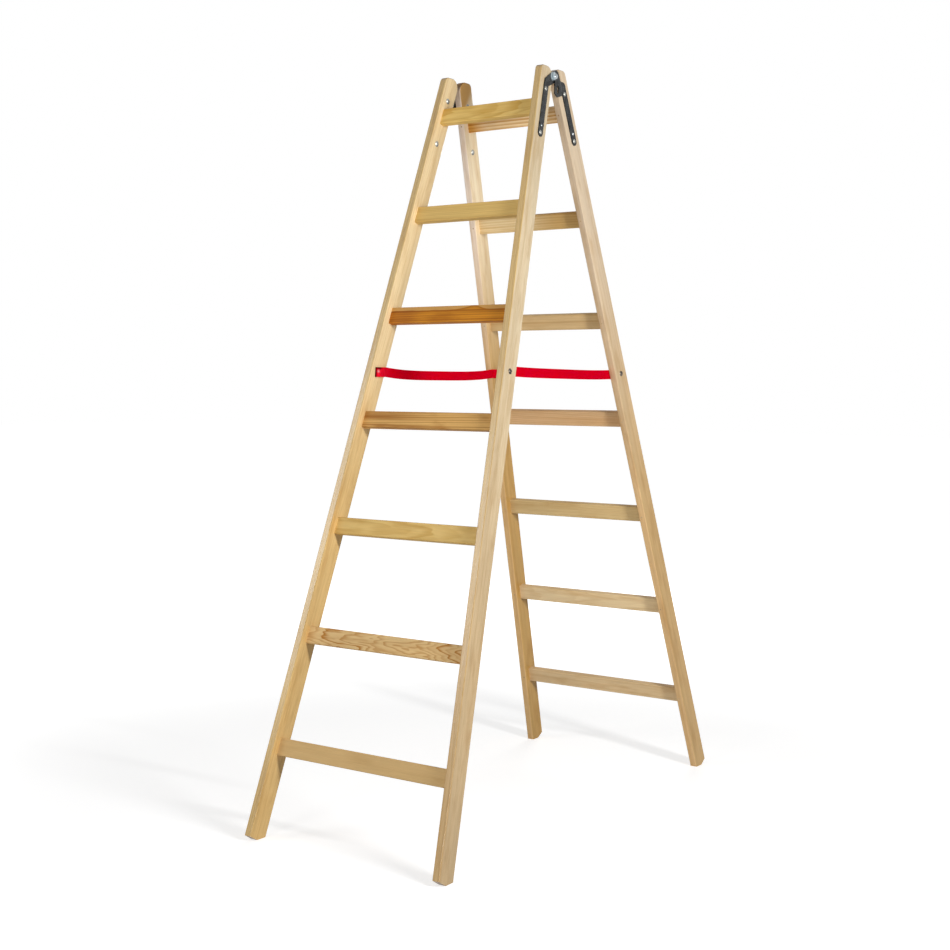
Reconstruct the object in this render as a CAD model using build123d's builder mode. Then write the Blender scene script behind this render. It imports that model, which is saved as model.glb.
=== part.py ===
from build123d import *
import os
from math import asin, cos, degrees, radians, sin, tan

# A double-sided wooden ladder that stands open on the floor, in millimetres and degrees.
# +X runs along the rungs, the front frame stands towards -Y and the rear frame towards +Y.
# The origin is on the floor, in the middle between the four feet.

# Stance of the two frames
lean_angle = 18.0
taper_angle = 3.75
inner_width_at_pivot = 275.0

# Rungs
rung_count = 7
rung_pitch = 280.0
first_rung_distance = 195.0
rung_height = 43.0
rung_thickness = 18.0
rung_ease = 2.5
tenon_height = 30.0
tenon_thickness = 10.0
tenon_length = 13.0
mortise_clearance = 0.1

# Stiles
stile_width = 57.0
stile_thickness = 20.0
stile_ease = 2.5
stile_setback = 4.0
pivot_above_rung = 78.0
top_rise = 23.0
top_inner_round = 24.0
top_outer_round = 13.0
foot_flat = 31.0
toe_rise = 15.0

# Brads that pin the tenons, driven from the inner edge of each stile
brad_radius = 1.1
brad_head_radius = 2.1
brad_head_height = 0.8
brad_length = 38.0
brad_inset = 8.0

# Hinge leaves, with stations measured down the stile from the pivot
leaf_thickness = 2.5
leaf_width = 21.0
leaf_length = 185.0
leaf_bend = 42.0
leaf_gap = 0.2
boss_radius = 14.5
elbow_station = 29.0
elbow_round = 5.0
neck_drop = 8.0

# Head of the rear leaf: a step over the front leaf, a round shoulder, and a lug with a window
joggle_run = 6.5
shoulder_round = 15.0
notch_reach = 18.5
notch_station = 13.0
lug_reach = 21.0
lug_shoulder = 40.5
lug_drop = 52.5
lug_inner = 10.0
lug_round = 4.0
window_length = 21.0
window_width = 10.0
window_station = 34.5
window_offset = 1.5

# Pivot rivet
rivet_radius = 4.0
rivet_head_radius = 7.0
rivet_head_height = 2.6
rivet_tail_radius = 5.5
rivet_tail_height = 1.8

# Hinge rivets, with a high head on the wood and a low tail on the leaf
hinge_rivet_radius = 3.0
hinge_rivet_head_radius = 7.75
hinge_rivet_head_height = 3.6
hinge_rivet_tail_radius = 5.5
hinge_rivet_tail_height = 2.2

# Places of the hinge rivets and the leaf screws, from the pivot and from the leaf's end
upper_rivet_station = 51.0
lower_rivet_inset = 11.0
screw_inset = 30.0
screw_radius = 1.75
screw_head_radius = 3.4
screw_head_height = 2.0
screw_length = 16.0

# Spreader straps, and the rivets and washers that hold their ends
strap_width = 25.0
strap_thickness = 1.6
strap_station = 811.0
strap_tail = 13.0
strap_gap = 0.1
strap_rivet_radius = 3.0
strap_rivet_head_radius = 7.5
strap_rivet_head_height = 3.6
strap_rivet_tail_radius = 4.2
strap_rivet_tail_height = 1.8
strap_washer_radius = 6.0
strap_washer_thickness = 1.0

# Radial clearance of every pin in its hole
pin_clearance = 0.05

# Places that follow from the sizes above
lean = radians(lean_angle)
taper = radians(taper_angle)
pivot_run = first_rung_distance + (rung_count - 1) * rung_pitch + rung_height + pivot_above_rung
pivot_height = pivot_run * cos(lean)
outer_edge = stile_setback + stile_width
stile_middle = stile_setback + stile_width / 2
stile_skin = stile_thickness * cos(taper)
leaf_inner = stile_middle - leaf_width / 2
leaf_outer = stile_middle + leaf_width / 2
strap_top = elbow_station + elbow_round

upward = Vector(0, sin(lean), cos(lean))
outward = Vector(0, -cos(lean), sin(lean))
sideways = Vector(1, 0, 0) * cos(taper) + upward * sin(taper)
pivot = Vector(0, 0, pivot_height)

# The front frame's own plane: X across, Y up along the frame, Z outwards, with the pivot at its origin.
front = Plane(origin=pivot, x_dir=(1, 0, 0), z_dir=outward)


def half_width(station):
    """Half the clear width between the stiles, this far below the pivot."""
    return inner_width_at_pivot / 2 + station * tan(taper)


def face_x(station):
    """How far out the stile's outer face lies, this far below the pivot."""
    return half_width(station) + stile_thickness


def side_point(offset, height):
    """Side view of the front frame: the point at this height, this far outwards from the pivot's own line."""
    return (-(pivot_height - height) * tan(lean) - offset / cos(lean), height)


def rung_station(number):
    """Distance from the pivot down to the middle of a rung, counted from the floor."""
    return pivot_run - first_rung_distance - (number - 1) * rung_pitch - rung_height / 2


# The outer face of the front right stile: X outwards from the frame, Y down the stile, Z out of the wood.
outer_face = Plane(origin=pivot + Vector(face_x(0), 0, 0), x_dir=outward, z_dir=sideways)
inner_face = outer_face.offset(-stile_skin)
leaf_face = outer_face.offset(leaf_thickness)

# The inner edge of the front frame, seen from between the frames: X across, Y down.
inner_edge = Plane(origin=pivot + outward * stile_setback, x_dir=(1, 0, 0), z_dir=outward * -1)

# The plane in which the hinge turns: X outwards from the frame, Y down.
head_x = face_x(leaf_bend)
head_plane = Plane(origin=pivot + Vector(head_x, 0, 0), x_dir=outward, z_dir=(1, 0, 0))

# How far the bent sheets reach past the pivot, down past the leaf's end and out from the hinge plane,
# before the leaves are cut from them
sheet_top = boss_radius + leaf_thickness
sheet_foot = leaf_length + leaf_width
sheet_depth = face_x(sheet_foot) + leaf_width - head_x

rung_numbers = range(1, rung_count + 1)
hinge_rivet_points = [(stile_middle, upper_rivet_station), (stile_middle, leaf_length - lower_rivet_inset)]
screw_point = (stile_middle, leaf_length - screw_inset)
strap_point = (stile_middle, strap_station)


def drill(plane, points, radius, depth):
    """Round holes cut from a plane into the part that is being built."""
    with BuildSketch(plane) as holes:
        with Locations(*points):
            Circle(radius + pin_clearance)
    extrude(holes.sketch, amount=-depth, mode=Mode.SUBTRACT)


# Rungs of the front frame, each with a blind tenon at both ends
def make_rung(number):
    station = rung_station(number)
    low = station + rung_height / 2
    high = station - rung_height / 2
    with BuildPart() as rung:
        with BuildSketch(front.offset(stile_middle - rung_thickness / 2)):
            with BuildLine():
                Polyline(
                    (half_width(low), -low),
                    (half_width(high), -high),
                    (-half_width(high), -high),
                    (-half_width(low), -low),
                    close=True,
                )
            make_face()
        extrude(amount=rung_thickness)
        fillet(rung.edges().filter_by(Axis.X), rung_ease)
        with BuildSketch(front.offset(stile_middle)):
            with Locations((0, -station)):
                Rectangle(2 * (half_width(station) + tenon_length), tenon_height)
        extrude(amount=tenon_thickness / 2, both=True)
        brad_x = half_width(station) + brad_inset
        drill(inner_edge, [(brad_x, station), (-brad_x, station)], brad_radius, brad_length)
    return rung


front_rungs = {number: make_rung(number) for number in rung_numbers}

# Front right stile: its front view, cut to its side view
with BuildPart() as front_right_stile:
    over_top = -stile_width
    under_foot = pivot_run + stile_width
    with BuildSketch(front.offset(stile_setback)):
        with BuildLine():
            Polyline(
                (half_width(under_foot), -under_foot),
                (face_x(under_foot), -under_foot),
                (face_x(over_top), -over_top),
                (half_width(over_top), -over_top),
                close=True,
            )
        make_face()
    extrude(amount=stile_width)
    heel = side_point(stile_setback, 0)
    with BuildSketch(Plane.YZ) as side_view:
        with BuildLine():
            Polyline(
                heel,
                (heel[0] - foot_flat, 0),
                side_point(outer_edge, toe_rise),
                side_point(outer_edge, pivot_height + top_rise),
                side_point(stile_setback, pivot_height + top_rise),
                close=True,
            )
        make_face()
        top_corners = side_view.vertices().group_by(Axis.Y)[-1].sort_by(Axis.X)
        fillet(top_corners[-1], top_inner_round)
        top_corners = side_view.vertices().group_by(Axis.Y)[-1].sort_by(Axis.X)
        fillet(top_corners[0], top_outer_round)
    extrude(amount=face_x(under_foot), both=True, mode=Mode.INTERSECT)
    long_edges = front_right_stile.edges().filter_by(GeomType.LINE).sort_by(SortBy.LENGTH)[-4:]
    fillet(long_edges, stile_ease)
    for number in rung_numbers:
        station = rung_station(number)
        brad_point = (half_width(station) + brad_inset, station)
        with BuildSketch(front.offset(stile_middle)):
            with Locations((0, -station)):
                Rectangle(
                    2 * (half_width(station) + tenon_length + mortise_clearance),
                    tenon_height + 2 * mortise_clearance,
                )
        extrude(amount=tenon_thickness / 2 + mortise_clearance, both=True, mode=Mode.SUBTRACT)
        drill(inner_edge, [brad_point], brad_radius, brad_length)
        drill(inner_edge, [brad_point], brad_head_radius, brad_head_height)
    drill(outer_face, hinge_rivet_points, hinge_rivet_radius, stile_thickness)
    drill(outer_face, [strap_point], strap_rivet_radius, stile_thickness)
    drill(outer_face, [screw_point], screw_radius, screw_length - leaf_thickness)

# Brads of the front frame
with BuildPart() as front_brads:
    brad_points = [(half_width(rung_station(n)) + brad_inset, rung_station(n)) for n in rung_numbers]
    with BuildSketch(inner_edge):
        with Locations(*brad_points):
            Circle(brad_head_radius)
    extrude(amount=-brad_head_height)
    with BuildSketch(inner_edge):
        with Locations(*brad_points):
            Circle(brad_radius)
    extrude(amount=-brad_length)
    mirror(about=Plane.YZ)


def bent_strip(near, far):
    """Sheet that lies on the stile's outer face and turns square to the pivot above the bend."""
    skin = leaf_thickness / cos(taper)
    with BuildSketch(front.offset(near)) as profile:
        with BuildLine():
            Polyline(
                (head_x, sheet_top),
                (head_x, -leaf_bend),
                (face_x(sheet_foot), -sheet_foot),
                (face_x(sheet_foot) + skin, -sheet_foot),
                (head_x + leaf_thickness, leaf_thickness * tan(taper / 2) - leaf_bend),
                (head_x + leaf_thickness, sheet_top),
                close=True,
            )
        make_face()
    extrude(profile.sketch, amount=far - near)


def strap_outline():
    """Outline of a leaf's straight part, from the elbow down to its round end."""
    last = leaf_length - leaf_width / 2
    with Locations((stile_middle, (strap_top + last) / 2)):
        Rectangle(leaf_width, last - strap_top)
    with Locations((stile_middle, last)):
        Circle(leaf_width / 2)


def drill_leaf():
    """Holes for the rivets and the screw of one leaf."""
    drill(outer_face.offset(leaf_width), hinge_rivet_points, hinge_rivet_radius, 2 * leaf_width)
    drill(outer_face.offset(leaf_width), [screw_point], screw_radius, 2 * leaf_width)


# Front right hinge leaf: a bent strap with a cranked neck
with BuildPart() as front_right_leaf:
    bent_strip(-sheet_top, outer_edge)
    with BuildSketch(head_plane):
        Circle(boss_radius)
        with Locations(
            (leaf_outer - elbow_round, elbow_station),
            (leaf_inner + elbow_round, elbow_station + neck_drop),
        ):
            Circle(elbow_round)
        make_hull()
        strap_outline()
    extrude(amount=sheet_depth, both=True, mode=Mode.INTERSECT)
    drill_leaf()
    drill(head_plane.offset(leaf_width), [(0, 0)], rivet_radius, 2 * leaf_width)

# Rear right hinge leaf, drawn on the front frame: its head steps outwards to lie over the front leaf's head
with BuildPart() as crossed_leaf:
    bent_strip(leaf_inner, outer_edge)
    low_layer = head_x
    high_layer = head_x + leaf_thickness + leaf_gap
    joggle_inner = leaf_inner - joggle_run
    step = high_layer - low_layer
    bend_shift = leaf_thickness * (Vector(joggle_run, step).length - joggle_run) / step
    with BuildSketch(Plane(origin=pivot, x_dir=(1, 0, 0), z_dir=upward).offset(-leaf_bend)):
        with BuildLine():
            Polyline(
                (high_layer, sheet_top + lug_reach),
                (high_layer, -joggle_inner + bend_shift),
                (low_layer, -leaf_inner + bend_shift),
                (low_layer, -leaf_inner - leaf_thickness),
                (low_layer + leaf_thickness, -leaf_inner - leaf_thickness),
                (low_layer + leaf_thickness, -leaf_inner),
                (high_layer + leaf_thickness, -joggle_inner),
                (high_layer + leaf_thickness, sheet_top + lug_reach),
                close=True,
            )
        make_face()
    extrude(amount=leaf_bend + sheet_top)
    with BuildSketch(head_plane):
        shoulder_middle = leaf_outer - shoulder_round
        with BuildLine():
            Polyline(
                (0, 0),
                (boss_radius, 0),
                (notch_reach, notch_station),
                (shoulder_middle, strap_top - shoulder_round),
                (shoulder_middle, leaf_bend),
                (joggle_inner, leaf_bend),
                close=True,
            )
        make_face()
        Circle(boss_radius)
        with Locations((shoulder_middle, strap_top)):
            Circle(shoulder_round)
        strap_outline()
    extrude(amount=sheet_depth, both=True, mode=Mode.INTERSECT)
    with BuildSketch(head_plane.offset(high_layer - head_x)) as lug:
        with BuildLine():
            Polyline(
                (-lug_inner, boss_radius - lug_round),
                (-lug_reach, lug_shoulder),
                (-lug_inner, lug_drop),
                (joggle_inner, lug_drop),
                (joggle_inner, boss_radius - lug_round),
                close=True,
            )
        make_face()
        fillet(lug.vertices().group_by(Axis.Y)[1:], lug_round)
    extrude(amount=leaf_thickness)
    with BuildSketch(head_plane):
        with Locations((-window_offset, window_station)):
            SlotOverall(window_length, window_width, rotation=90 + lean_angle)
    extrude(amount=leaf_width, mode=Mode.SUBTRACT)
    drill_leaf()
    drill(head_plane.offset(leaf_width), [(0, 0)], rivet_radius, 2 * leaf_width)


def add_domes(plane, points, size, turn=0):
    """Heads shaped like the cap of a ball, added on a plane to the part that is being built."""
    radius, height = size
    ball = (radius**2 + height**2) / (2 * height)
    seats = [plane.location * Location((across, down, 0), (turn, 0, 0)) for across, down in points]
    with Locations(*seats):
        Sphere(
            ball,
            arc_size1=degrees(asin((ball - height) / ball)),
            align=(Align.CENTER, Align.CENTER, Align.MIN),
        )


def headed_pins(plane, points, head, shank):
    """Round-headed pins that stand on a plane: head and shank are each a radius and a length."""
    shank_radius, shank_length = shank
    with BuildPart() as pins:
        add_domes(plane, points, head)
        with BuildSketch(plane):
            with Locations(*points):
                Circle(shank_radius)
        extrude(amount=-shank_length)
    return pins


def rivets(plane, points, head, shank, tail):
    """Rivets with their heads on a plane and their tails at the other end, each a radius and a length."""
    pins = headed_pins(plane, points, head, shank)
    with BuildPart() as closed:
        add(pins.part)
        add_domes(plane.offset(-shank[1]), points, tail, turn=180)
    return closed


def both_sides(right):
    """A right-hand piece together with its mirror image on the left."""
    with BuildPart() as pair:
        add(right.part)
        mirror(about=Plane.YZ)
    return pair


# Hinge rivets and screws of the front frame
right_hinge_rivets = rivets(
    leaf_face,
    hinge_rivet_points,
    (hinge_rivet_tail_radius, hinge_rivet_tail_height),
    (hinge_rivet_radius, leaf_thickness + stile_skin),
    (hinge_rivet_head_radius, hinge_rivet_head_height),
)
front_hinge_rivets = both_sides(right_hinge_rivets)
right_hinge_screws = headed_pins(
    leaf_face, [screw_point], (screw_head_radius, screw_head_height), (screw_radius, screw_length)
)
front_hinge_screws = both_sides(right_hinge_screws)

# Right pivot rivet: its head lies on the rear leaf, and its tail holds the front leaf
right_pivot_rivet = rivets(
    head_plane.offset(2 * leaf_thickness + leaf_gap),
    [(0, 0)],
    (rivet_head_radius, rivet_head_height),
    (rivet_radius, 2 * leaf_thickness + 2 * leaf_gap),
    (rivet_tail_radius, rivet_tail_height),
)

# Right spreader strap: flat on both stiles' inner faces and straight between them
strap_place = inner_face.from_local_coords((stile_middle, strap_station, 0))
strap_height = strap_place.Z
strap_end = abs(strap_place.Y) + strap_tail
strap_edge = abs(side_point(stile_setback, strap_height)[0])


def strap_x(depth):
    """How far out the stile's inner face lies at the strap's height, this far from the middle."""
    drop = (pivot_height - strap_height) * cos(lean) + depth * sin(lean)
    return half_width(drop) - strap_gap


with BuildPart() as right_strap:
    with BuildSketch(Plane.XY.offset(strap_height)):
        with BuildLine():
            Polyline(
                (strap_x(strap_end), -strap_end),
                (strap_x(strap_edge), -strap_edge),
                (strap_x(strap_edge), 0),
                (strap_x(strap_edge) - strap_thickness, 0),
                (strap_x(strap_edge) - strap_thickness, -strap_edge),
                (strap_x(strap_end) - strap_thickness, -strap_end),
                close=True,
            )
        make_face()
    extrude(amount=strap_width / 2, dir=(-tan(taper) * cos(lean), 0, 1), both=True)
    drill(inner_face.offset(strap_width), [strap_point], strap_rivet_radius, 2 * strap_width)
    mirror(about=Plane.XZ)

# Strap rivets and washers of the front frame
strap_stack = 2 * strap_gap + strap_thickness
right_strap_rivet = rivets(
    outer_face,
    [strap_point],
    (strap_rivet_head_radius, strap_rivet_head_height),
    (strap_rivet_radius, stile_skin + strap_stack + strap_washer_thickness),
    (strap_rivet_tail_radius, strap_rivet_tail_height),
)
front_strap_rivets = both_sides(right_strap_rivet)

with BuildPart() as front_strap_washers:
    with BuildSketch(inner_face.offset(-strap_stack)):
        with Locations(strap_point):
            Circle(strap_washer_radius)
            Circle(strap_rivet_radius + pin_clearance, mode=Mode.SUBTRACT)
    extrude(amount=-strap_washer_thickness)
    mirror(about=Plane.YZ)


def mirrored(source, plane):
    """The mirror image of a finished piece."""
    with BuildPart() as image:
        mirror(source.part, about=plane)
    return image


# The left side and the rear frame are mirror images
front_left_stile = mirrored(front_right_stile, Plane.YZ)
rear_right_leaf = mirrored(crossed_leaf, Plane.XZ)
pieces = {
    "front_right_stile": front_right_stile,
    "front_left_stile": front_left_stile,
    "rear_right_stile": mirrored(front_right_stile, Plane.XZ),
    "rear_left_stile": mirrored(front_left_stile, Plane.XZ),
    "front_brads": front_brads,
    "rear_brads": mirrored(front_brads, Plane.XZ),
    "front_right_hinge_leaf": front_right_leaf,
    "front_left_hinge_leaf": mirrored(front_right_leaf, Plane.YZ),
    "rear_right_hinge_leaf": rear_right_leaf,
    "rear_left_hinge_leaf": mirrored(rear_right_leaf, Plane.YZ),
    "front_hinge_rivets": front_hinge_rivets,
    "rear_hinge_rivets": mirrored(front_hinge_rivets, Plane.XZ),
    "front_hinge_screws": front_hinge_screws,
    "rear_hinge_screws": mirrored(front_hinge_screws, Plane.XZ),
    "right_pivot_rivet": right_pivot_rivet,
    "left_pivot_rivet": mirrored(right_pivot_rivet, Plane.YZ),
    "right_strap": right_strap,
    "left_strap": mirrored(right_strap, Plane.YZ),
    "front_strap_rivets": front_strap_rivets,
    "rear_strap_rivets": mirrored(front_strap_rivets, Plane.XZ),
    "front_strap_washers": front_strap_washers,
    "rear_strap_washers": mirrored(front_strap_washers, Plane.XZ),
}
for number, rung in front_rungs.items():
    pieces[f"front_rung_{number}"] = rung
    pieces[f"rear_rung_{number}"] = mirrored(rung, Plane.XZ)

os.makedirs("parts", exist_ok=True)
for name, piece in pieces.items():
    piece.part.label = name
    export_step(piece.part, f"parts/{name}.step")
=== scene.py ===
import math

import bpy
from mathutils import Matrix, Vector


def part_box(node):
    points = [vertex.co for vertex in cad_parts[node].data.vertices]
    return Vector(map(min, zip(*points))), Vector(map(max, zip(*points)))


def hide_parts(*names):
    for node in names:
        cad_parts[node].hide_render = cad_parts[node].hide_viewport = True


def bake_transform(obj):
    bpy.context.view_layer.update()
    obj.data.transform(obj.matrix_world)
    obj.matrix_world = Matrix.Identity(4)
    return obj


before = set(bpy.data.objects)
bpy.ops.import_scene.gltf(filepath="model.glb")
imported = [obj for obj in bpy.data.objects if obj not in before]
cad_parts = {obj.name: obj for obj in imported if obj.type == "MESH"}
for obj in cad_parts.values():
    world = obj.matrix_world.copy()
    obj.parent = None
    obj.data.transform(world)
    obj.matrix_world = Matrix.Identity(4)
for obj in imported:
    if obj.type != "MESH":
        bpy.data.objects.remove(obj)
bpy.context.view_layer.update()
scene = bpy.context.scene
scene.view_settings.view_transform = "Standard"

# Camera: where it stands, how it is turned, and its lens
camera_place = (2.132, -3.297, 1.1028)
camera_azimuth = 35.284
camera_elevation = 2.089
camera_roll = 0.329
camera_lens = 56.05
camera_shift = (0.03925, -0.03716)

# Lamps: a long strip at the right that leans forward, and softer ones front left, in front and behind
key_place = (2.7, -0.85, 1.53)
key_size = (1.6, 0.12)
key_roll = -60.0
key_power = 67.0
fill_place = (-2.7, -3.3, 2.3)
fill_size = (1.9, 1.9)
fill_power = 36.0
front_place = (0.1, -4.2, 1.1)
front_size = (1.2, 1.2)
front_power = 42.0
back_place = (-1.4, 4.4, 1.9)
back_size = (2.0, 2.0)
back_power = 60.0
lamp_aim = (0.0, 0.0, 1.0)

# An even sky, and a floor whose glow rises from backdrop_near to backdrop_far around the ladder
sky_strength = 0.14
floor_size = 60.0
floor_colour = 0.65
floor_glow = 0.62
backdrop_glow = 0.92
backdrop_near = 1.0
backdrop_far = 2.6

# Pine: a stile's thickness, and the cells to the metre of each noise, along the grain and across it
stile_thickness = 0.020
wander_cells = (2.2, 12, 12)
drift_cells = (3.4, 0, 0)
streak_cells = (1.6, 90, 90)
cloud_cells = (9, 42, 42)
fibre_cells = (22, 900, 900)
blotch_cells = (3.0, 16, 16)
sap_cells = (9, 0, 0)

# Pine: where in a ring the late wood is full and where it ends, and how strong the faintest ring is
late_full = 0.86
late_end = 0.90
faintest_ring = 0.35

# Pine: the length of the hump in a band of sapwood, how far the band's border waves, how wide the dark line
# along it is, and how fast and how fully the line and the band show
sap_hump = 0.03
sap_wave = 0.012
sap_line = 0.006
sap_blend = 0.0015
sap_line_share = 0.7
sap_share = 0.8

# Pine: how fully a painted shadow near a board's end shows, the tone of sawn ends and how fully it shows, and
# how deep the grain stands
painted_shade_share = 0.9
sawn_tone = (128, 86, 44)
sawn_share = 0.75
grain_depth = 0.0003
grain_strength = 0.35

# Steel: the cells of its clouds and scratches, the scratches' tone, and how deep they stand
steel_cells = (70, 70, 70)
scratch_cells = (260, 260, 2600)
scratch_tone = (200, 204, 208)
scratch_share = 0.4
scratch_depth = 0.0002
scratch_strength = 0.25

# Steel: the tone of a painted highlight, how ragged its border is, how fast it fades, and the one beside the
# hinges' pivot with its radius
highlight_tone = (196, 208, 214)
highlight_share = 0.8
highlight_ragged = 0.008
highlight_fade = 0.004
hinge_highlight = ((0, -0.012, 1.8965), 0.013)

# Webbing: its thickness, the width of a warp thread, the pitch of the weft, and how deep the weave stands
webbing_thickness = 0.0016
thread_width = 0.0016
weft_pitch = 0.0024
fuzz_cells = (300, 300, 300)
fade_cells = (14, 14, 14)
weave_depth = 0.0004
weave_strength = 0.6

# Webbing: the red in the dips and on the ribs of its weave for each strap, paler on the left and darker on
# the right as painted light, and the tone of its clouds
left_reds_with_light = ((187, 0, 21), (248, 0, 40))
right_reds_with_light = ((168, 0, 18), (224, 0, 36))
faded_tone = (200, 0, 22)

# Webbing: tones of painted light: a highlight on the front fold, a glint over its rivet, shade at the bends
fold_highlight_tone = (255, 20, 50)
glint_tone = (255, 165, 170)
bend_shade_tone = (48, 10, 8)

# Webbing, measured from a cut end: where the painted highlight fades, where the painted glint sits over the
# rivet and how far above the middle, and where the webbing bends back
fold_highlight_full = 0.055
fold_highlight_end = 0.13
glint_at = 0.0385
glint_rise = 0.002
bend_at = 0.048

# Straps: how far each one sags, tilts and rolls over between its ends
left_sag = 0.0078
right_sag = 0.0026
left_tilt = 0.0005
right_tilt = -0.002
left_roll = 4.0
right_roll = -2.0
sag_power = 3.5
roll_power = 0.4

# Straps: how far from the fold one leaves the wood, how far from the rivet it is cut, its middle's height
# over the wood, the steps of its free span, and where its thinner selvedge begins
strap_hold = 0.046
flap_cut = 0.031
on_wood = 0.0009
span_steps = 48
selvedge = 0.93
selvedge_share = 0.7


def srgb(red, green, blue):
    """A colour as a screen shows it, from 0 to 255, as the linear values that nodes take."""
    shares = [value / 255 for value in (red, green, blue)]
    return (*[s / 12.92 if s <= 0.04045 else ((s + 0.055) / 1.055) ** 2.4 for s in shares], 1.0)


def middle(node):
    """The middle of a CAD node's box."""
    low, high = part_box(node)
    return (Vector(low) + Vector(high)) / 2


class Graph:
    """A material's nodes, each added and joined in one call."""

    def __init__(self, name):
        self.material = bpy.data.materials.new(name)
        self.material.use_nodes = True
        self.tree = self.material.node_tree
        self.shader = self.tree.nodes["Principled BSDF"]

    def set(self, socket, value):
        """Joins a socket to another node's output, or gives it a constant."""
        if isinstance(value, bpy.types.NodeSocket):
            self.tree.links.new(value, socket)
        else:
            socket.default_value = value

    def add(self, kind, inputs, output=0, **settings):
        node = self.tree.nodes.new(kind)
        for key, value in settings.items():
            setattr(node, key, value)
        for key, value in inputs.items():
            self.set(node.inputs[key], value)
        return node.outputs[output]

    def finish(self, **inputs):
        """Joins the Principled shader's inputs, with underscores for the spaces in their names."""
        for key, value in inputs.items():
            self.set(self.shader.inputs[key.replace("_", " ")], value)
        return self.material

    def math(self, operation, *values):
        return self.add("ShaderNodeMath", dict(enumerate(values)), operation=operation)

    def vector(self, operation, *values):
        return self.add("ShaderNodeVectorMath", dict(enumerate(values)), operation=operation)

    def measure(self, operation, *values):
        """A vector operation that gives a number."""
        return self.vector(operation, *values).node.outputs["Value"]

    def split(self, vector):
        node = self.tree.nodes.new("ShaderNodeSeparateXYZ")
        self.set(node.inputs[0], vector)
        return node.outputs

    def noise(self, point, cells, detail=2.0, output="Fac"):
        """Noise with this many cells to the metre along each axis."""
        scaled = self.vector("MULTIPLY", point, cells)
        return self.add("ShaderNodeTexNoise", {"Vector": scaled, "Scale": 1.0, "Detail": detail}, output)

    def ease(self, value, low, high, first=0.0, last=1.0):
        """A smooth step of a value from low to high, as a number from first to last."""
        inputs = {"Value": value, "From Min": low, "From Max": high, "To Min": first, "To Max": last}
        return self.add("ShaderNodeMapRange", inputs, interpolation_type="SMOOTHSTEP")

    def mix(self, share, first, second, blend="MIX"):
        inputs = {"Fac": share, "Color1": first, "Color2": second}
        return self.add("ShaderNodeMixRGB", inputs, blend_type=blend)

    def bump(self, height, depth, strength):
        return self.add("ShaderNodeBump", {"Height": height, "Distance": depth, "Strength": strength})


def add_camera():
    data = bpy.data.cameras.new("camera")
    data.lens = camera_lens
    data.shift_x, data.shift_y = camera_shift
    camera = bpy.data.objects.new("camera", data)
    scene.collection.objects.link(camera)
    turn = Matrix.Rotation(math.radians(camera_azimuth), 4, "Z")
    tilt = Matrix.Rotation(math.radians(90 - camera_elevation), 4, "X")
    roll = Matrix.Rotation(math.radians(camera_roll), 4, "Z")
    camera.matrix_world = Matrix.Translation(camera_place) @ turn @ tilt @ roll
    scene.camera = camera


def add_lamp(name, place, size, power, roll=0.0):
    """A soft lamp turned to the ladder, and rolled about its own line of sight."""
    data = bpy.data.lights.new(name, "AREA")
    data.shape = "ELLIPSE"
    data.size, data.size_y = size
    data.energy = power
    lamp = bpy.data.objects.new(name, data)
    scene.collection.objects.link(lamp)
    lamp.location = place
    aimed = (Vector(lamp_aim) - Vector(place)).to_track_quat("-Z", "Y").to_matrix()
    lamp.rotation_euler = (aimed @ Matrix.Rotation(math.radians(roll), 3, "Z")).to_euler()


def seen_directly(tree):
    """1 for the rays that see the background as it is: those of the camera, of gloss and of glass."""
    path = tree.nodes.new("ShaderNodeLightPath")
    total = path.outputs["Is Camera Ray"]
    for name in ("Is Glossy Ray", "Is Transmission Ray"):
        adding = tree.nodes.new("ShaderNodeMath")
        adding.use_clamp = True
        tree.links.new(total, adding.inputs[0])
        tree.links.new(path.outputs[name], adding.inputs[1])
        total = adding.outputs[0]
    return total


def add_sky():
    world = bpy.data.worlds.new("sky")
    world.use_nodes = True
    tree = world.node_tree
    background = tree.nodes["Background"]
    background.inputs["Color"].default_value = (1, 1, 1, 1)
    level = tree.nodes.new("ShaderNodeMapRange")
    tree.links.new(seen_directly(tree), level.inputs["Value"])
    level.inputs["To Min"].default_value = sky_strength
    level.inputs["To Max"].default_value = 1.0
    tree.links.new(level.outputs[0], background.inputs["Strength"])
    scene.world = world


def add_floor():
    half = floor_size / 2
    corners = [(-half, -half, 0), (half, -half, 0), (half, half, 0), (-half, half, 0)]
    mesh = bpy.data.meshes.new("floor")
    mesh.from_pydata(corners, [], [(0, 1, 2, 3)])
    floor = bpy.data.objects.new("floor", mesh)
    scene.collection.objects.link(floor)
    g = Graph("floor")
    distance = g.measure("LENGTH", g.add("ShaderNodeTexCoord", {}, "Object"))
    level = g.ease(distance, backdrop_near, backdrop_far, floor_glow, backdrop_glow)
    glow = g.math("MULTIPLY", seen_directly(g.tree), level)
    mesh.materials.append(g.finish(
        Base_Color=(floor_colour, floor_colour, floor_colour, 1), Roughness=1.0, Specular_IOR_Level=0.0,
        Emission_Color=(1, 1, 1, 1), Emission_Strength=glow))


# How the frames stand, read from the rungs
low_rung = middle("front_rung_1")
high_rung = middle("front_rung_7")
climb = high_rung - low_rung
lean = math.atan2(climb.y, climb.z)
taper = math.atan((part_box("front_rung_1")[1][0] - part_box("front_rung_7")[1][0]) / climb.length)


def upward(end):
    """Up along a frame: end is -1 for the front one and 1 for the rear one."""
    return Vector((0, -end * math.sin(lean), math.cos(lean)))


def outward(end):
    """Out from between the frames, square to this one."""
    return Vector((0, end * math.cos(lean), math.sin(lean)))


def turned(along, across):
    """The turn that lays X along the grain and Y across the board's face."""
    along = along.normalized()
    depth = along.cross(across).normalized()
    return Matrix((along, depth.cross(along), depth)).transposed().to_euler()


def end_of(node):
    return -1 if node.startswith("front") else 1


def rung_board(node):
    """A rung's place and turn."""
    return middle(node), turned(Vector((1, 0, 0)), upward(end_of(node)))


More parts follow.
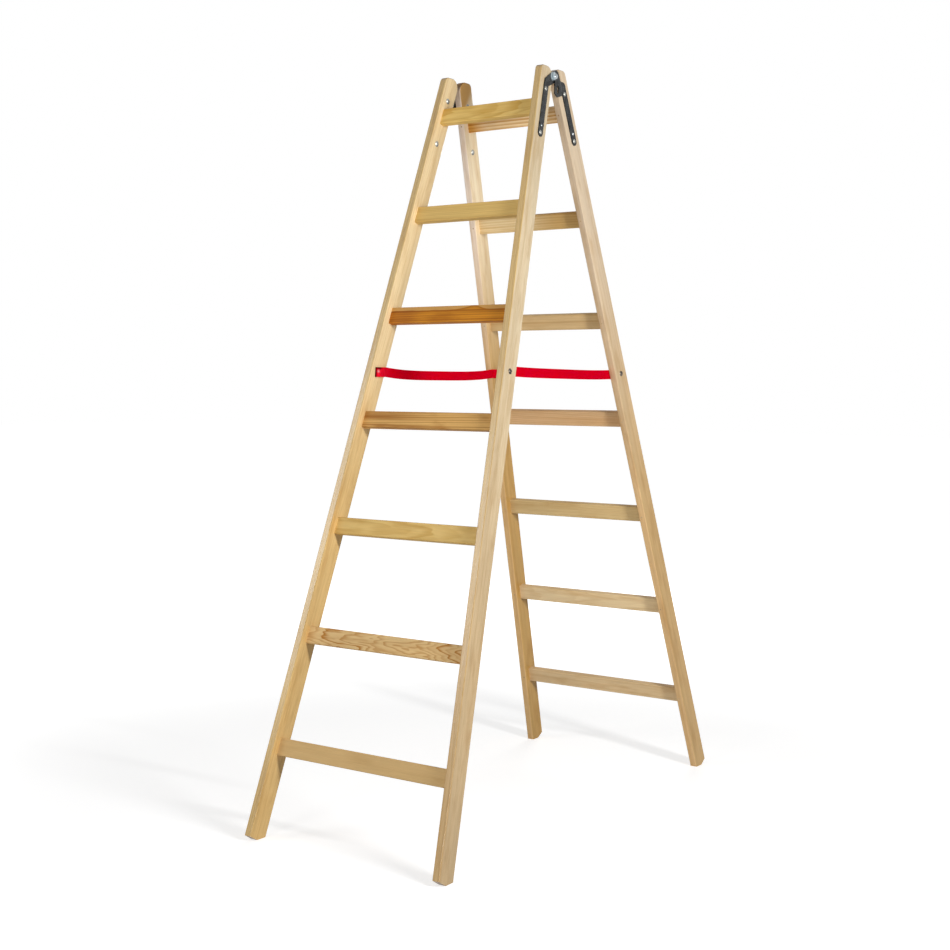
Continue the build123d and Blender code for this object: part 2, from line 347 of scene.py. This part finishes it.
def stile_board(node):
    """A stile's place on the floor and its turn."""
    end = end_of(node)
    side = 1 if "right" in node else -1
    foot_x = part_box("front_right_stile")[1][0] - stile_thickness / 2
    foot_y = abs(low_rung.y) + low_rung.z * math.tan(lean)
    along = upward(end) * math.cos(taper) - Vector((side, 0, 0)) * math.sin(taper)
    return Vector((side * foot_x, end * foot_y, 0)), turned(along, outward(end))


def pine(
    name, board, tone, late=(0.74, 0.62, 0.46), contrast=0.5, streaks=0.5, figure=0.3, spacing=0.004,
    pith=(0.08, 0.03), early_share=0.25, cone=0.0, swell=0.006, warp=0.002, wild=1.0, seed=0.0, far=None,
    edges=None, painted_shade=None, sap=None, gloss=0.6, shine=0.15, polish=None,
):
    """Planed pine, cut from a log whose rings lie about a pith beside the board.

    tone is the early wood and late what it is multiplied by in the late wood. contrast, streaks and figure
    are how strong the rings, the streaks and the clouds are. spacing is the width of a ring, pith how far
    the pith lies across and behind the board, early_share the plain part of a ring, cone how fast the rings
    widen along the board, and swell, warp and wild how far and how often they wander. far is a second tone
    and where it begins and is full, edges the two tones of the board's edges, painted_shade the tone of a
    painted shadow on the board's face near its end and where it begins and is full, and sap the tone, edge,
    rise and place of a band of sapwood. gloss is the roughness, and shine and polish are the specular levels
    of the faces and of the edges. edges need far, and painted_shade and polish need edges.
    """
    g = Graph(name)
    place, turn = board
    grain = turn.to_matrix()
    coordinates = g.add("ShaderNodeTexCoord", {}, "Object")
    inputs = {"Vector": coordinates, "Location": place, "Rotation": turn}
    point = g.add("ShaderNodeMapping", inputs, vector_type="TEXTURE")
    along, across, _ = g.split(point)
    shifted = g.vector("ADD", point, (seed, seed * 0.37, seed * 0.71))
    normal = g.add("ShaderNodeTexCoord", {}, "Normal")

    # Early and late wood
    early = tone
    if far:
        far_tone, far_start, far_full = far
        farness = g.ease(along, far_start, far_full)
        early = g.mix(farness, early, far_tone)
    if edges:
        edge_facing = g.math("ABSOLUTE", g.measure("DOT_PRODUCT", normal, grain.col[1]))
        on_edge = g.ease(edge_facing, 0.4, 0.9)
        early = g.mix(on_edge, early, g.mix(farness, *edges))
    late = g.mix(1.0, early, (*late, 1.0), "MULTIPLY")

    # Growth rings
    wander = g.noise(shifted, [wild * cells for cells in wander_cells], 2.0, "Color")
    wander = g.vector("MULTIPLY", g.vector("SUBTRACT", wander, (0.5, 0.5, 0.5)), (0, 2 * warp, 2 * warp))
    from_pith = g.vector("ADD", g.vector("SUBTRACT", point, (0, *pith)), wander)
    radius = g.measure("LENGTH", g.vector("MULTIPLY", from_pith, (0, 1, 1)))
    drift = g.math("MULTIPLY", g.math("SUBTRACT", g.noise(shifted, drift_cells, 1.0), 0.5), 2 * swell)
    drift = g.math("ADD", drift, g.math("MULTIPLY", along, cone))
    phase = g.math("DIVIDE", g.math("ADD", radius, drift), spacing)
    part = g.math("FRACT", phase)
    rise = g.ease(part, early_share, late_full)
    fall = g.ease(part, late_end, 1.0, 1.0, 0.0)
    year = g.add("ShaderNodeTexWhiteNoise", {"W": g.math("FLOOR", phase)}, "Value", noise_dimensions="1D")
    strength = g.ease(year, 0.0, 1.0, faintest_ring, 1.0)
    ring = g.math("MULTIPLY", g.math("MULTIPLY", rise, fall), strength)

    # Streaks, clouds and fibres along the grain
    streak = g.ease(g.noise(shifted, streak_cells, 3.0), 0.42, 0.72)
    cloud = g.ease(g.noise(shifted, cloud_cells, 3.0), 0.46, 0.74)
    fibre = g.noise(shifted, fibre_cells, 3.0)
    blotch = g.ease(g.noise(shifted, blotch_cells, 2.0), 0.3, 0.7, 0.93, 1.05)
    colour = early
    for mark, share in ((ring, contrast), (streak, streaks), (cloud, figure)):
        colour = g.mix(g.math("MULTIPLY", mark, share), colour, late)

    # A band of sapwood along one edge, with a dark line at its border
    if sap:
        sap_tone, sap_edge, sap_rise, sap_place = sap
        hump = g.math("DIVIDE", g.math("SUBTRACT", along, sap_place), sap_hump)
        hump = g.math("POWER", math.e, g.math("MULTIPLY", g.math("MULTIPLY", hump, hump), -1.0))
        wave = g.math("MULTIPLY", g.math("SUBTRACT", g.noise(shifted, sap_cells, 2.0), 0.5), sap_wave)
        border = g.math("ADD", g.math("ADD", g.math("MULTIPLY", hump, sap_rise), wave), sap_edge)
        above = g.math("SUBTRACT", across, border)
        line = g.ease(above, 0.0, sap_blend, sap_line_share, 0.0)
        line = g.math("MULTIPLY", g.ease(above, -sap_line, -0.0002), line)
        colour = g.mix(line, colour, late)
        colour = g.mix(g.ease(above, -0.0006, sap_blend, 0.0, sap_share), colour, sap_tone)
    shade = g.math("MULTIPLY", blotch, g.ease(fibre, 0.3, 0.7, 0.95, 1.04))
    colour = g.mix(1.0, colour, shade, "MULTIPLY")

    # A painted shadow near the end, and sawn ends, which drink in more and look darker
    if painted_shade:
        painted_shade_tone, painted_shade_start, painted_shade_full = painted_shade
        painted_shading = g.ease(g.math("SUBTRACT", along, across), painted_shade_start, painted_shade_full, 0.0, painted_shade_share)
        colour = g.mix(g.math("MULTIPLY", painted_shading, g.math("SUBTRACT", 1.0, on_edge)), colour, painted_shade_tone)
    end_facing = g.math("ABSOLUTE", g.measure("DOT_PRODUCT", normal, grain.col[0]))
    colour = g.mix(g.ease(end_facing, 0.25, 0.7, 0.0, sawn_share), colour, srgb(*sawn_tone))

    roughness = g.ease(fibre, 0.3, 0.7, gloss - 0.06, gloss + 0.06)
    roughness = g.math("ADD", roughness, g.math("MULTIPLY", ring, -0.08))
    height = g.math("ADD", g.math("MULTIPLY", ring, 0.5), g.math("MULTIPLY", fibre, 0.6))
    bumps = g.bump(height, grain_depth, grain_strength)
    material = g.finish(Base_Color=colour, Roughness=roughness, Normal=bumps, Specular_IOR_Level=shine)
    if polish:
        g.finish(Specular_IOR_Level=g.ease(edge_facing, 0.85, 0.98, shine, polish))
    return material


def steel(name, bright, dark, roughness, highlight=None):
    """Rolled or plated steel with clouds and fine scratches; highlight is a painted highlight's place and
    radius.
    """
    g = Graph(name)
    point = g.add("ShaderNodeTexCoord", {}, "Object")
    cloud = g.noise(point, steel_cells, 4.0)
    scratch = g.noise(point, scratch_cells, 2.0)
    colour = g.mix(g.ease(cloud, 0.35, 0.65), dark, bright)
    colour = g.mix(g.ease(scratch, 0.62, 0.75, 0.0, scratch_share), colour, srgb(*scratch_tone))
    rough = g.math("ADD", g.ease(cloud, 0.3, 0.7, -0.08, 0.08), roughness)
    # A painted highlight: a brighter, smoother patch around a given place
    if highlight:
        highlight_place, highlight_radius = highlight
        beside = g.vector("MULTIPLY", g.vector("SUBTRACT", point, highlight_place), (0, 1, 1))
        away = g.math("ADD", g.measure("LENGTH", beside), g.math("MULTIPLY", cloud, highlight_ragged))
        highlighted = g.ease(away, highlight_radius, highlight_radius + highlight_fade, highlight_share, 0.0)
        colour = g.mix(highlighted, colour, srgb(*highlight_tone))
        rough = g.math("SUBTRACT", rough, g.math("MULTIPLY", highlighted, 0.08))
    height = g.math("ADD", g.math("MULTIPLY", cloud, 0.5), scratch)
    normal = g.bump(height, scratch_depth, scratch_strength)
    return g.finish(Base_Color=colour, Metallic=1.0, Roughness=rough, Normal=normal)


def webbing(name, length, reds_with_light):
    """Red woven webbing: weft ribs across and warp threads along, in two tones of red.

    The reds differ per strap as painted light. Its front fold has a painted highlight and a painted glint
    over the rivet, and both folds have painted shade at the bend.
    """
    g = Graph(name)
    uv = g.add("ShaderNodeTexCoord", {}, "UV")
    along, across, _ = g.split(uv)
    thread = g.math("FLOOR", g.math("DIVIDE", across, thread_width))
    turn = g.math("MULTIPLY", along, 2 * math.pi / weft_pitch)
    weave = g.math("SINE", g.math("ADD", turn, g.math("MULTIPLY", thread, math.pi)))
    rib = g.math("ABSOLUTE", g.math("SINE", g.math("MULTIPLY", across, math.pi / thread_width)))
    height = g.math("MULTIPLY", g.ease(weave, -1.0, 1.0, 0.4, 1.0), g.math("SQRT", rib))
    point = g.add("ShaderNodeTexCoord", {}, "Object")
    fuzz = g.noise(point, fuzz_cells, 3.0)
    fade = g.noise(point, fade_cells, 2.0)
    colour = g.mix(height, *[srgb(*tone) for tone in reds_with_light])
    colour = g.mix(g.ease(fade, 0.35, 0.75, 0.0, 0.35), colour, srgb(*faded_tone))

    # The front fold, with a painted highlight and a painted glint over the rivet
    from_front = g.math("ADD", along, length / 2)
    colour = g.mix(g.ease(from_front, fold_highlight_full, fold_highlight_end, 0.7, 0.0), colour, srgb(*fold_highlight_tone))
    # A painted glint over the rivet under the fold
    beside = g.add("ShaderNodeCombineXYZ", {"X": g.math("SUBTRACT", from_front, glint_at), "Y": across})
    away = g.measure("DISTANCE", beside, (0, glint_rise, 0))
    away = g.math("ADD", away, g.math("MULTIPLY", fuzz, 0.002))
    colour = g.mix(g.ease(away, 0.0015, 0.0075, 0.75, 0.0), colour, srgb(*glint_tone))

    # Painted shade in the crease of the bend and along the upper edge beside it
    from_cut = g.math("SUBTRACT", length / 2, g.math("ABSOLUTE", along))
    bend = g.ease(from_cut, bend_at - 0.009, bend_at - 0.001)
    rim = g.ease(from_cut, bend_at - 0.035, bend_at - 0.012)
    rim = g.math("MULTIPLY", g.ease(across, 0.0045, 0.0105), rim)
    bend_shade = g.ease(from_cut, bend_at, bend_at + 0.02, 0.9, 0.0)
    bend_shade = g.math("MULTIPLY", g.math("MAXIMUM", bend, rim), bend_shade)
    colour = g.mix(bend_shade, colour, srgb(*bend_shade_tone))

    roughness = g.ease(fuzz, 0.3, 0.7, 0.5, 0.7)
    bumps = g.bump(g.math("ADD", height, g.math("MULTIPLY", fuzz, 0.3)), weave_depth, weave_strength)
    return g.finish(
        Base_Color=colour, Roughness=roughness, Normal=bumps, Specular_IOR_Level=0.0, Subsurface_Weight=0.8,
        Subsurface_Radius=(1.0, 0.2, 0.2), Subsurface_Scale=0.004)


def add_strap(node, side, sag, tilt, roll, reds_with_light):
    """A strap that hangs slack between the frames, rolls over a little, and is folded over its rivets."""
    low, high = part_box(node)
    reach = high[1]
    edge = reach - strap_hold
    rivet = abs(middle("front_strap_rivets").y)
    centre_z = (low[2] + high[2]) / 2
    half = (high[2] - low[2]) / 2
    outer_x = max(abs(low[0]), abs(high[0]))
    slope_in = math.tan(taper) * math.sin(lean)
    slope_up = math.tan(taper) * math.cos(lean)

    # One end as distances from the middle and heights over the wood, from the cut end over the rivet to the
    # fold and back, and then the free span between the two ends
    fold = [
        (rivet - flap_cut, 0.0026), (rivet - 0.016, 0.0031), (rivet - 0.008, 0.0056), (rivet, 0.0062),
        (rivet + 0.007, 0.0056), (reach - 0.002, 0.0037), (reach, 0.0023), (reach - 0.002, 0.0010),
        (rivet + 0.006, on_wood), (rivet - 0.016, on_wood),
    ]
    free = [(edge * math.sin(math.pi * (k / span_steps - 0.5)), on_wood) for k in range(span_steps + 1)]
    path = [(-depth, lift) for depth, lift in fold] + free + list(reversed(fold))

    # The strap's middle line, how far it is rolled and pitched there, and the length so far
    rows = []
    travelled = 0.0
    last = None
    for depth, lift in path:
        share = max(-1.0, min(1.0, depth / edge))
        drop = sag * (abs(share) ** sag_power - 1) + tilt * share
        face = outer_x - (reach - max(abs(depth), edge)) * slope_in - half * slope_up - lift
        place = Vector((face, depth, centre_z + drop))
        if last:
            travelled += (place - last).length
        last = place
        angle = math.radians(roll) * (1 - share * share) ** roll_power
        steepness = sag_power * sag * abs(share) ** (sag_power - 1) / edge
        pitch = steepness * math.copysign(1 - share**8, share)
        rows.append((place, angle, pitch, travelled))

    # The section, swept along that line
    across = (-1.0, -selvedge, -0.5, 0.0, 0.5, selvedge, 1.0)
    section = [(a, 0.5) for a in across] + [(a, -0.5) for a in reversed(across)]
    vertices = []
    marks = []
    for place, angle, pitch, run in rows:
        for a, layer in section:
            rim = selvedge_share if abs(a) == 1.0 else 1.0
            lift = a * half
            out = layer * webbing_thickness * rim
            height = lift * math.cos(angle) + out * math.sin(angle)
            x = place.x + out * math.cos(angle) - lift * (math.sin(angle) + slope_up * math.cos(angle))
            y = place.y - height * math.sin(pitch)
            vertices.append((side * x, y, place.z + height * math.cos(pitch)))
            marks.append((run - travelled / 2, lift))
    count = len(section)
    steps = len(rows) - 1
    faces = []
    for row in range(steps):
        for k in range(count):
            a = row * count + k
            b = row * count + (k + 1) % count
            faces.append((a, b, b + count, a + count))
    faces.append(tuple(reversed(range(count))))
    faces.append(tuple(range(steps * count, (steps + 1) * count)))
    mesh = bpy.data.meshes.new(f"{node}_webbing")
    mesh.from_pydata(vertices, [], faces)
    mesh.update()
    uv_layer = mesh.uv_layers.new(name="webbing")
    for loop in mesh.loops:
        uv_layer.data[loop.index].uv = marks[loop.vertex_index]
    for polygon in mesh.polygons:
        polygon.use_smooth = len(polygon.vertices) == 4
    strap = bpy.data.objects.new(f"{node}_webbing", mesh)
    scene.collection.objects.link(strap)
    mesh.materials.append(webbing(f"{node}_webbing", travelled, reds_with_light))
    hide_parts(node)
    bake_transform(strap)


def dress(node, material):
    """Gives a CAD node its material."""
    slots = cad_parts[node].data.materials
    slots.clear()
    slots.append(material)


add_camera()
add_lamp("key", key_place, key_size, key_power, key_roll)
add_lamp("fill", fill_place, fill_size, fill_power)
add_lamp("front", front_place, front_size, front_power)
add_lamp("back", back_place, back_size, back_power)
add_sky()
add_floor()

# Wood of each board: its tone, how deep and strong its figure is, and how its rings run
boards = {
    # The stiles' far tones run paler toward their upper ends, in part painted light for the stronger light
    # there
    "front_left_stile": dict(
        tone=srgb(225, 189, 126), far=(srgb(241, 216, 169), 0.8, 1.4), seed=1.3,
        edges=(srgb(204, 169, 99), srgb(205, 174, 112)), contrast=0.3, streaks=0.35, figure=0.6, gloss=0.3,
        polish=0.9),
    "front_right_stile": dict(
        tone=srgb(196, 170, 130), far=(srgb(217, 198, 164), 0.4, 1.4), seed=2.7, pith=(-0.09, 0.04),
        edges=(srgb(193, 158, 97), srgb(213, 181, 116)), contrast=0.3, streaks=0.4, figure=0.6, gloss=0.3,
        polish=0.9),
    # The rear left stile carries a painted shadow across the top of its inner face, where the front right
    # stile shades it
    "rear_left_stile": dict(
        tone=srgb(206, 166, 100), far=(srgb(252, 234, 200), 1.1, 1.75), seed=3.1, pith=(0.08, -0.03),
        edges=(srgb(229, 190, 134), srgb(253, 235, 217)), painted_shade=(srgb(200, 148, 68), 1.945, 1.985),
        contrast=0.3, streaks=0.4, figure=0.6, gloss=0.45),
    "rear_right_stile": dict(
        tone=srgb(206, 172, 119), far=(srgb(222, 201, 172), 0.7, 1.7), seed=4.9, pith=(0.05, 0.05),
        edges=(srgb(230, 193, 141), srgb(214, 193, 166)), contrast=0.3, streaks=0.4, figure=0.6,
        gloss=0.45),
    "front_rung_7": dict(
        tone=srgb(240, 205, 125), late=(0.70, 0.54, 0.26), spacing=0.004, pith=(0.004, -0.05), cone=0.04,
        warp=0.006, wild=2.5, seed=5.2, contrast=0.65, figure=0.7),
    "front_rung_6": dict(tone=srgb(233, 198, 123), pith=(-0.05, 0.04), seed=6.6, contrast=0.4),
    "front_rung_5": dict(
        tone=srgb(190, 118, 34), far=(srgb(217, 145, 42), -0.13, -0.06), late=(0.50, 0.36, 0.24),
        spacing=0.006, pith=(0.09, 0.02), seed=7.4, contrast=0.6, streaks=0.9, figure=0.6,
        sap=(srgb(216, 166, 96), 0.010, 0.011, 0.075)),
    "front_rung_4": dict(
        tone=srgb(227, 181, 109), late=(0.50, 0.34, 0.20), spacing=0.006, pith=(0.1, 0.02), warp=0.008,
        seed=8.8, contrast=0.6, streaks=1.0, figure=0.9),
    "front_rung_3": dict(
        tone=srgb(228, 194, 123), late=(0.70, 0.56, 0.30), spacing=0.004, pith=(0.0, -0.06), cone=0.03,
        swell=0.012, warp=0.005, wild=2.5, seed=9.5, contrast=0.6, figure=0.5),
    "front_rung_2": dict(
        tone=srgb(227, 193, 136), late=(0.55, 0.30, 0.06), spacing=0.0026, pith=(0.003, -0.05), cone=-0.05,
        early_share=0.3, swell=0.010, warp=0.006, wild=4.5, seed=10.1, contrast=1.0, streaks=0.2),
    "front_rung_1": dict(
        tone=srgb(212, 178, 123), spacing=0.003, pith=(0.11, 0.02), seed=11.7, contrast=0.3, streaks=0.3),
    "rear_rung_7": dict(
        tone=srgb(226, 172, 84), far=(srgb(252, 226, 180), -0.14, -0.08), late=(0.62, 0.40, 0.18),
        spacing=0.009, pith=(0.06, 0.01), seed=12.2, contrast=1.0, streaks=0.5),
    "rear_rung_6": dict(
        tone=srgb(244, 219, 171), late=(0.72, 0.57, 0.34), far=(srgb(206, 170, 110), -0.05, 0.1),
        spacing=0.007, pith=(0.07, 0.02), seed=13.9, contrast=0.6, streaks=0.8),
    "rear_rung_5": dict(tone=srgb(224, 193, 142), pith=(0.08, 0.02), seed=14.4, contrast=0.4, streaks=0.8),
    "rear_rung_4": dict(
        tone=srgb(225, 187, 140), late=(0.80, 0.66, 0.50), spacing=0.006, pith=(-0.08, 0.02), cone=0.04,
        seed=15.8, contrast=0.6, streaks=0.6),
    "rear_rung_3": dict(
        tone=srgb(223, 194, 140), pith=(0.06, 0.03), warp=0.004, wild=2.0, seed=16.3, figure=0.6),
    "rear_rung_2": dict(
        tone=srgb(242, 215, 169), pith=(0.004, -0.06), cone=0.04, warp=0.005, wild=3.0, seed=17.7,
        contrast=0.35, figure=0.5),
    "rear_rung_1": dict(
        tone=srgb(231, 202, 157), pith=(-0.07, 0.02), warp=0.004, wild=2.0, seed=18.5, contrast=0.35,
        figure=0.6),
}
for node, wood in boards.items():
    board = rung_board(node) if "rung" in node else stile_board(node)
    dress(node, pine(f"pine_{node}", board, **wood))

# Steel of the hinges and of each kind of fastener
leaf_steel = steel("hinge_steel", srgb(66, 68, 68), srgb(38, 39, 40), 0.36, highlight=hinge_highlight)
rivet_steel = steel("rivet_steel", srgb(172, 172, 166), srgb(116, 116, 110), 0.36)
strap_steel = steel("strap_steel", srgb(96, 88, 80), srgb(46, 42, 38), 0.3)
plated_steel = steel("plated_steel", srgb(196, 202, 206), srgb(140, 148, 152), 0.26)
brad_steel = steel("brad_steel", srgb(214, 188, 152), srgb(172, 142, 108), 0.6)
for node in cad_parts:
    if "leaf" in node:
        dress(node, leaf_steel)
    elif "brads" in node:
        dress(node, brad_steel)
    elif "strap_rivets" in node:
        dress(node, strap_steel)
    elif "pivot_rivet" in node or "screws" in node:
        dress(node, plated_steel)
    elif node not in boards and not node.endswith("strap"):
        dress(node, rivet_steel)

# The two straps get different reds, as painted light that evens out how the lamps light them
add_strap("left_strap", -1, left_sag, left_tilt, left_roll, left_reds_with_light)
add_strap("right_strap", 1, right_sag, right_tilt, right_roll, right_reds_with_light)
